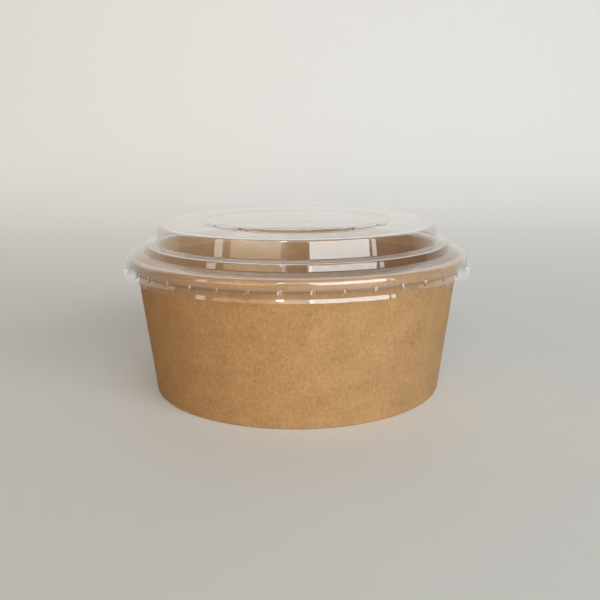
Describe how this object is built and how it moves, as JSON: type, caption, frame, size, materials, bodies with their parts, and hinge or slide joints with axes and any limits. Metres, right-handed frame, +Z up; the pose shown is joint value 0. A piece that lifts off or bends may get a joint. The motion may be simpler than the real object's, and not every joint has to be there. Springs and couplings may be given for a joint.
{
  "type": "salad bowl with lid",
  "caption": "Round tapered kraft board bowl with a rolled rim and a recessed floor, closed by a clear stepped dome lid with snap lugs.",
  "frame": {"origin": "centre of the bowl's foot, on the surface that it stands on", "axes": "+Z up along the bowl's axis. +Y points to the wall's overlapped seam, at the back, so the pictured side faces -Y"},
  "size_m": [0.1564, 0.1564, 0.0754],
  "materials": {
    "kraft_wall": "brown kraft board, matt outside with fine mottled fibres, slightly glossy coated inside and over the rolled rim",
    "kraft_floor": "brown kraft board, matt below and slightly glossy coated above",
    "clear_film": "thin clear glossy film, thermoformed"
  },
  "bodies": {
    "bowl": {"sidewall": "kraft_wall", "base": "kraft_floor"},
    "lid": {"lid": "clear_film"}
  },
  "joints": [
    {"name": "lid_lift", "type": "slide", "parent": "bowl", "child": "lid", "axis": [0, 0, 1], "range_m": [0, 0.05]}
  ]
}
